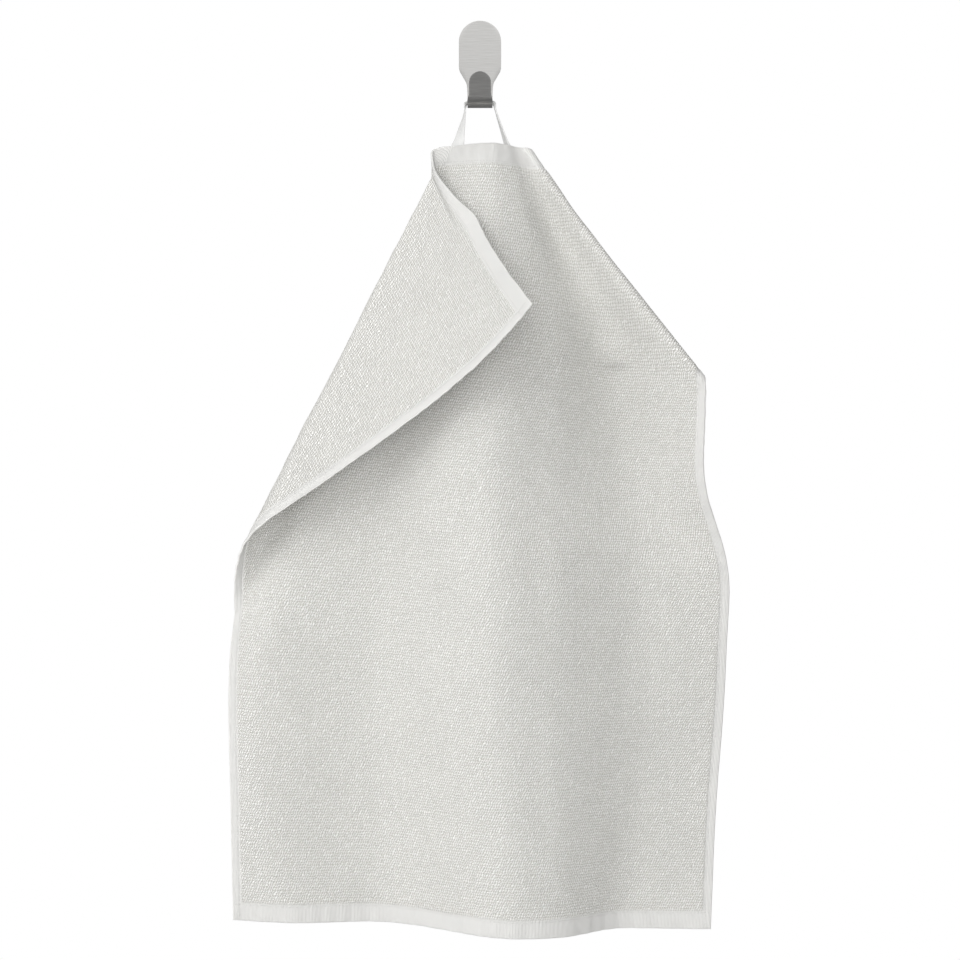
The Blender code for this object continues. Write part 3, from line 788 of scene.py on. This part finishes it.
# %% Tape material
TAPE_DARK = (0.66, 0.66, 0.65)
TAPE_LIGHT = (0.74, 0.74, 0.73)
woven, tree, shader = new_material("loop_tape")
uv = add(tree, "ShaderNodeUVMap", uv_map="flat_cloth")
part = add(tree, "ShaderNodeSeparateXYZ")
tree.links.new(uv.outputs["UV"], part.inputs["Vector"])
zigzag = calc(tree, "PINGPONG", part.outputs["X"], 0.0012)
slant = calc(tree, "ADD", part.outputs["Y"], zigzag)
twill = calc(tree, "SINE", calc(tree, "MULTIPLY", slant, 2 * math.pi / 0.0009))
fuzz = add(tree, "ShaderNodeTexNoise", noise_dimensions="2D")
fuzz.inputs["Scale"].default_value = 3000
tree.links.new(uv.outputs["UV"], fuzz.inputs["Vector"])
height = calc(tree, "MULTIPLY_ADD", fuzz.outputs["Fac"], 0.4, calc(tree, "MULTIPLY", twill, 0.5))
bump = add(tree, "ShaderNodeBump")
bump.inputs["Strength"].default_value = 0.5
bump.inputs["Distance"].default_value = 0.00015
tree.links.new(height, bump.inputs["Height"])
tree.links.new(bump.outputs["Normal"], shader.inputs["Normal"])
colour = mix_colours(tree, soft_step(tree, twill, -1.0, 1.0), TAPE_DARK, TAPE_LIGHT)
tree.links.new(colour, shader.inputs["Base Color"])
shader.inputs["Roughness"].default_value = 0.85
shader.inputs["Sheen Weight"].default_value = 0.1
tape.data.materials.append(woven)
print("tape nodes:", len(tree.nodes))

# %% [markdown]
# ## The hook
# The hook is one strip of stainless steel, blanked to shape and bent round a former. We model
# its middle surface the same way: one row of faces at the top, extruded down row by row and
# scaled to the strip's width, spun round the bend, and extruded up again for the tongue, which
# leans out a little. Solidify gives the thickness, and a small bevel breaks the sharp edges.

# %% Hook sizes
PLATE_WIDTH = 0.0327
PLATE_TOP = 0.0238
TONGUE_TOP = -0.0187
TONGUE_LEAN = 10
TONGUE_WIDTH = 0.0167
BEND_WIDTH = 0.0187
TIP_START = math.radians(4)  # a round end starts a little way round, so its tip has a width
BEVEL = 0.00065
STRIP_ROWS = (
    (0.0070, PLATE_WIDTH), (-0.0020, PLATE_WIDTH), (-0.0110, PLATE_WIDTH), (-0.0135, 0.0324),
    (-0.0155, 0.0312), (-0.0235, 0.0219), (-0.0252, 0.0208), (-0.0275, 0.0200), (-0.0371, 0.0192),
)
print("the strip is", STEEL * 1000, "mm thick")


# %% Model the strip
def round_end(radius, steps):
    """Distances from the tip of a round end, and the width there."""
    swings = [TIP_START + (math.pi / 2 - TIP_START) * k / steps for k in range(steps + 1)]
    return [(radius * (1 - math.cos(swing)), 2 * radius * math.sin(swing)) for swing in swings]


def extrude_row(move, wider):
    """The next row of faces, moved on from the last and scaled in width."""
    bpy.ops.mesh.extrude_region_move(TRANSFORM_OT_translate={"value": move})
    bpy.ops.transform.resize(value=(wider, 1, 1), center_override=(0, 0, 0))


plate_end = round_end(PLATE_WIDTH / 2, 16)
rows = [(PLATE_TOP - fall, width) for fall, width in plate_end] + list(STRIP_ROWS)
bpy.ops.object.select_all(action="DESELECT")
bpy.ops.mesh.primitive_grid_add(x_subdivisions=8, y_subdivisions=1, size=1)
strip = bpy.context.active_object
strip.name = "steel_hook"
bpy.ops.object.mode_set(mode="EDIT")
bpy.ops.mesh.select_all(action="SELECT")
bpy.ops.transform.rotate(value=math.pi / 2, orient_axis="X", center_override=(0, 0, 0))
bpy.ops.transform.resize(value=(rows[0][1], 1, rows[0][0] - rows[1][0]), center_override=(0, 0, 0))
middle_height = (rows[0][0] + rows[1][0]) / 2
bpy.ops.transform.translate(value=(0, -STEEL / 2, middle_height))
print("top row of", len(strip.data.polygons), "faces")


# %% Extrude, spin and extrude again
def select_where(test):
    """Select the vertices that pass, as a box selection would."""
    mesh = bmesh.from_edit_mesh(strip.data)
    bpy.ops.mesh.select_all(action="DESELECT")
    for vert in mesh.verts:
        vert.select = test(vert.co)
    mesh.select_flush_mode()
    bmesh.update_edit_mesh(strip.data)


bpy.ops.mesh.select_mode(type="VERT")
select_where(lambda co: co.z < middle_height)
bpy.ops.transform.resize(value=(rows[1][1] / rows[0][1], 1, 1), center_override=(0, 0, 0))
for (height, width), (lower, next_width) in zip(rows[1:], rows[2:]):
    extrude_row((0, 0, lower - height), next_width / width)
bend_radius = (HOOK_GAP + STEEL) / 2
lean = math.radians(TONGUE_LEAN)
bend_middle = (0, -STEEL / 2 - bend_radius, BEND_CENTRE)
bpy.ops.mesh.spin(steps=24, angle=math.pi - lean, center=bend_middle, axis=(1, 0, 0))
bpy.ops.transform.resize(value=(BEND_WIDTH / rows[-1][1], 1, 1), center_override=(0, 0, 0))
print("strip bent:", len(strip.data.polygons), "faces")

# %% The tongue
up = Vector((0, -math.sin(lean), math.cos(lean)))
start_height = BEND_CENTRE - bend_radius * math.sin(lean)
tongue_length = (TONGUE_TOP - start_height) / math.cos(lean)
tip = [(tongue_length - fall, width) for fall, width in round_end(TONGUE_WIDTH / 2, 14)][::-1]
climb = [(0.0, BEND_WIDTH), (0.0008, 0.0184), (0.0018, 0.0172), (0.0026, TONGUE_WIDTH)] + tip
for (rise, width), (higher, next_width) in zip(climb, climb[1:]):
    extrude_row(tuple(up * (higher - rise)), next_width / width)
bpy.ops.mesh.select_all(action="SELECT")
bpy.ops.mesh.normals_make_consistent(inside=False)
bpy.ops.object.mode_set(mode="OBJECT")
solid = strip.modifiers.new("thickness", "SOLIDIFY")
solid.thickness = STEEL
solid.offset = 0
solid.use_even_offset = True
ease = strip.modifiers.new("ease", "BEVEL")
ease.width = BEVEL
ease.segments = 4
ease.limit_method = "ANGLE"
ease.angle_limit = math.radians(50)
for modifier in ("thickness", "ease"):
    bpy.ops.object.modifier_apply(modifier=modifier)
bpy.ops.object.mode_set(mode="EDIT")
bpy.ops.mesh.select_all(action="SELECT")
bpy.ops.mesh.normals_make_consistent(inside=False)
bpy.ops.object.mode_set(mode="OBJECT")
bpy.ops.object.shade_smooth_by_angle(angle=math.radians(35))
print("hook:", len(strip.data.polygons), "faces", [round(float(v), 4) for v in strip.dimensions])

# %% [markdown]
# ## Brushed steel
# Brushing leaves very fine scratches in one direction, here across the strip, which blur the
# reflection along it. The grey comes from the metal and the dim room that it mirrors.

# %% Steel material
STEEL_DARK = (0.62, 0.615, 0.60)
STEEL_LIGHT = (0.74, 0.735, 0.72)
steel, tree, shader = new_material("hook_steel")
place = add(tree, "ShaderNodeTexCoord")
stretch = add(tree, "ShaderNodeMapping")
stretch.inputs["Scale"].default_value = (70, 2600, 2600)
tree.links.new(place.outputs["Object"], stretch.inputs["Vector"])
scratches = add(tree, "ShaderNodeTexNoise")
scratches.inputs["Scale"].default_value = 1.0
scratches.inputs["Detail"].default_value = 4
tree.links.new(stretch.outputs["Vector"], scratches.inputs["Vector"])
rough = add(tree, "ShaderNodeMapRange")
tree.links.new(scratches.outputs["Fac"], rough.inputs["Value"])
rough.inputs["To Min"].default_value = 0.24
rough.inputs["To Max"].default_value = 0.42
tree.links.new(rough.outputs["Result"], shader.inputs["Roughness"])
brushed = soft_step(tree, scratches.outputs["Fac"], 0.3, 0.7)
streaks = mix_colours(tree, brushed, STEEL_DARK, STEEL_LIGHT)
tree.links.new(streaks, shader.inputs["Base Color"])
bump = add(tree, "ShaderNodeBump")
bump.inputs["Strength"].default_value = 0.25
bump.inputs["Distance"].default_value = 0.00003
tree.links.new(scratches.outputs["Fac"], bump.inputs["Height"])
tree.links.new(bump.outputs["Normal"], shader.inputs["Normal"])
shader.inputs["Metallic"].default_value = 1.0
strip.data.materials.append(steel)
print("steel nodes:", len(tree.nodes))

# %% [markdown]
# ## Put the pieces on the frame
# The fine towel and tape stand for the plain solids, which stay for collision only.

# %% Ride on the frame
PIECES = (
    (towel, "towel", "terry_cloth"),
    (tape, "hanging_loop", "loop_tape"),
    (strip, "wall_hook", "hook_steel"),
)
for piece, node, slot in PIECES:
    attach(piece, "root")
    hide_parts(node)

# %% [markdown]
# ## Light, floor and camera
# White cloth on white needs soft light from one side, or its folds vanish. Two large lamps stand
# to the left, one high and one lower, and a smaller one in front. A fourth behind is for the
# back. A dim white sky fills the shadows, and is full white where the camera sees it. Polished
# things mirror a room instead, which is dark low down and to the sides. The camera stands level
# with the middle of the whole object.

# %% Sky
world = bpy.data.worlds.new("studio")
bpy.context.scene.world = world
world.use_nodes = True
tree = world.node_tree
sky = tree.nodes["Background"]
sky.inputs["Color"].default_value = (1, 1, 1, 1)
seen = add(tree, "ShaderNodeLightPath")
SKY_FILL = 0.33
LOW_ROOM = 0.17
HIGH_ROOM = 1.08
direction = add(tree, "ShaderNodeTexCoord")
rise = add(tree, "ShaderNodeSeparateXYZ")
tree.links.new(direction.outputs["Generated"], rise.inputs["Vector"])
high = soft_step(tree, rise.outputs["Z"], -0.02, 0.16)
aside = soft_step(tree, calc(tree, "ABSOLUTE", rise.outputs["X"]), 0.35, 0.80)
ahead = calc(tree, "MULTIPLY", high, calc(tree, "SUBTRACT", 1.0, aside))
room = calc(tree, "MULTIPLY_ADD", ahead, HIGH_ROOM - LOW_ROOM, LOW_ROOM)
more = calc(tree, "SUBTRACT", room, SKY_FILL)
fill = calc(tree, "MULTIPLY_ADD", seen.outputs["Is Glossy Ray"], more, SKY_FILL)
strength = calc(tree, "MAXIMUM", fill, seen.outputs["Is Camera Ray"])
tree.links.new(strength, sky.inputs["Strength"])
print("sky fill", SKY_FILL)


# %% Lamps
def soft_lamp(name, place, towards, size, power):
    """A square lamp that lights the cloth, but is neither mirrored nor seen itself."""
    data = bpy.data.lights.new(name, "AREA")
    data.shape = "RECTANGLE"
    data.size, data.size_y, data.energy = size, size, power
    made = bpy.data.objects.new(name, data)
    bpy.context.scene.collection.objects.link(made)
    made.location = place
    made.rotation_euler = (Vector(towards) - Vector(place)).to_track_quat("-Z", "Y").to_euler()
    made.visible_glossy = False
    made.visible_camera = False


MIDDLE = (0, -0.04, -0.36)
soft_lamp("key", (-1.30, -1.50, 1.30), MIDDLE, 2.0, 33)
soft_lamp("side", (-2.10, -1.30, 0.40), MIDDLE, 2.4, 17.5)
soft_lamp("front", (0.10, -2.20, -0.30), MIDDLE, 1.4, 22)
soft_lamp("back", (0.60, 2.20, 0.40), MIDDLE, 2.0, 26)
print("lamps:", [lamp.name for lamp in bpy.data.lights])

# %% Floor
bpy.ops.object.select_all(action="DESELECT")
bpy.ops.mesh.primitive_plane_add(size=3.0, location=(0, -0.2, -1.25))
floor = bpy.context.active_object
floor.name = "floor"
floor.visible_glossy = False
pale, tree, shader = new_material("pale_floor")
shader.inputs["Base Color"].default_value = (0.85, 0.85, 0.85, 1)
shader.inputs["Roughness"].default_value = 0.9
floor.data.materials.append(pale)

# %% Camera
lens = bpy.data.cameras.new("camera")
lens.lens = 74.1
lens.sensor_width = 36
lens.clip_start = 0.05
camera = bpy.data.objects.new("camera", lens)
bpy.context.scene.collection.objects.link(camera)
camera.location = (0, -1.53, -0.3315)
camera.rotation_euler = (math.pi / 2, 0, 0)
bpy.context.scene.camera = camera
bpy.context.scene.view_settings.view_transform = "Standard"
bpy.context.scene.view_settings.look = "None"
